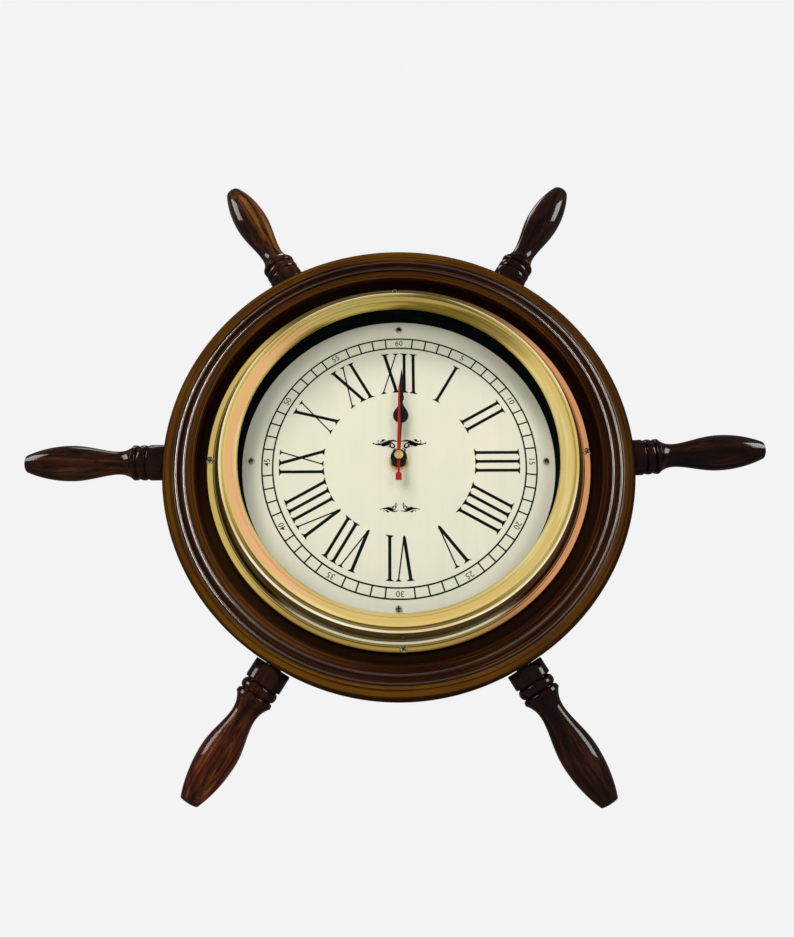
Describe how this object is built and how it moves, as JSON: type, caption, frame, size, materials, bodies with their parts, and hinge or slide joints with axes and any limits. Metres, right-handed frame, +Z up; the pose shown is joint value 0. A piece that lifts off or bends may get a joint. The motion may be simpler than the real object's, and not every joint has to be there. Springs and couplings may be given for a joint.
{
  "type": "ship wheel wall clock",
  "caption": "Wall clock in a turned wooden ship wheel with radial handles, a flanged brass case and bezel, glazed dial, three hands and a battery quartz movement.",
  "frame": {"origin": "the wheel's centre on the wall plane, at the back face of the wooden rim", "axes": "+Z up, +X to the right as seen from the front, +Y into the wall; the dial faces -Y"},
  "size_m": [0.4593, 0.0406, 0.4032],
  "materials": {
    "rim_wood": "dark walnut stain under satin varnish",
    "handle_wood": "dark rosewood stain, polished varnish",
    "case_brass": "turned and polished",
    "bezel_brass": "turned and polished",
    "dial_glass": "flat clear glass",
    "liner_black": "semi-gloss black",
    "dial_ivory": "satin ivory enamel with black print",
    "panel_board": "black stained fibreboard",
    "hanger_steel": "zinc plated",
    "hand_black": "satin black",
    "hand_red": "satin red",
    "hand_brass": "polished",
    "washer_rubber": "matt",
    "shell_plastic": "fine moulded grain",
    "wheel_plastic": "smooth moulded",
    "train_brass": "bright turned",
    "rotor_steel": "dark magnet on a steel arbor",
    "stator_steel": "stamped",
    "coil_copper": "enamelled copper winding",
    "board_green": "solder mask",
    "crystal_steel": "bright can",
    "battery_jacket": "plain grey jacket",
    "contact_steel": "nickel plated",
    "screw_steel": "plated, slightly dulled"
  },
  "bodies": {
    "clock_case": {"wheel_rim": "rim_wood", "brass_case": "case_brass", "bezel_ring": "bezel_brass", "glass": "dial_glass", "inner_liner": "liner_black", "dial_plate": "dial_ivory", "back_panel": "panel_board", "keyhole_hanger": "hanger_steel", "hand_washer": "hand_brass", "hand_nut": "hand_brass", "rubber_washer": "washer_rubber", "movement_shell": "shell_plastic", "movement_cover": "shell_plastic", "middle_plate": "shell_plastic", "stator": "stator_steel", "coil": "coil_copper", "circuit_board": "board_green", "quartz_crystal": "crystal_steel", "battery": "battery_jacket", "contact_positive": "contact_steel", "contact_negative": "contact_steel", "handle_1": "handle_wood", "handle_2": "handle_wood", "handle_3": "handle_wood", "handle_4": "handle_wood", "handle_5": "handle_wood", "handle_6": "handle_wood", "flange_screw_1": "screw_steel", "dial_screw_1": "screw_steel", "back_screw_1": "screw_steel", "flange_screw_2": "screw_steel", "dial_screw_2": "screw_steel", "back_screw_2": "screw_steel", "flange_screw_3": "screw_steel", "dial_screw_3": "screw_steel", "back_screw_3": "screw_steel", "flange_screw_4": "screw_steel", "dial_screw_4": "screw_steel", "back_screw_4": "screw_steel", "hanger_screw_1": "screw_steel", "hanger_screw_2": "screw_steel"},
    "minute": {"minute_hand": "hand_black", "minute_pipe": "train_brass"},
    "hour": {"hour_hand": "hand_black", "hour_wheel": "wheel_plastic"},
    "setting": {"motion_wheel": "wheel_plastic", "time_set_knob": "wheel_plastic"},
    "second": {"second_hand": "hand_red", "second_hand_cap": "hand_brass", "seconds_wheel": "wheel_plastic"},
    "third": {"third_wheel": "wheel_plastic"},
    "centre": {"centre_wheel": "train_brass"},
    "intermediate": {"intermediate_wheel": "wheel_plastic"},
    "motor_rotor": {"rotor": "rotor_steel"}
  },
  "joints": [
    {"name": "minute_turn", "type": "hinge", "parent": "clock_case", "child": "minute", "pos_m": [0, -0.01, 0], "axis": [0, 1, 0], "continuous": true},
    {"name": "hour_turn", "type": "hinge", "parent": "clock_case", "child": "hour", "pos_m": [0, -0.01, 0], "axis": [0, 1, 0], "continuous": true},
    {"name": "setting_turn", "type": "hinge", "parent": "clock_case", "child": "setting", "pos_m": [0.00843, -0.01, 0.00707], "axis": [0, 1, 0], "continuous": true},
    {"name": "second_turn", "type": "hinge", "parent": "clock_case", "child": "second", "pos_m": [0, -0.01, 0], "axis": [0, 1, 0], "continuous": true},
    {"name": "third_turn", "type": "hinge", "parent": "clock_case", "child": "third", "pos_m": [-0.00705, -0.01, 0.00591], "axis": [0, 1, 0], "continuous": true},
    {"name": "centre_turn", "type": "hinge", "parent": "clock_case", "child": "centre", "pos_m": [0, -0.01, 0], "axis": [0, 1, 0], "continuous": true},
    {"name": "intermediate_turn", "type": "hinge", "parent": "clock_case", "child": "intermediate", "pos_m": [0.00908, -0.01, -0.00243], "axis": [0, 1, 0], "continuous": true},
    {"name": "rotor_turn", "type": "hinge", "parent": "clock_case", "child": "motor_rotor", "pos_m": [0.01538, -0.01, -0.00243], "axis": [0, 1, 0], "continuous": true}
  ],
  "couplings": [
    {"joint": "hour_turn", "follows": "minute_turn", "ratio": 0.083333},
    {"joint": "setting_turn", "follows": "minute_turn", "ratio": -0.33333},
    {"joint": "third_turn", "follows": "second_turn", "ratio": -0.13333},
    {"joint": "centre_turn", "follows": "second_turn", "ratio": 0.016667},
    {"joint": "intermediate_turn", "follows": "second_turn", "ratio": -5},
    {"joint": "rotor_turn", "follows": "second_turn", "ratio": 30}
  ]
}
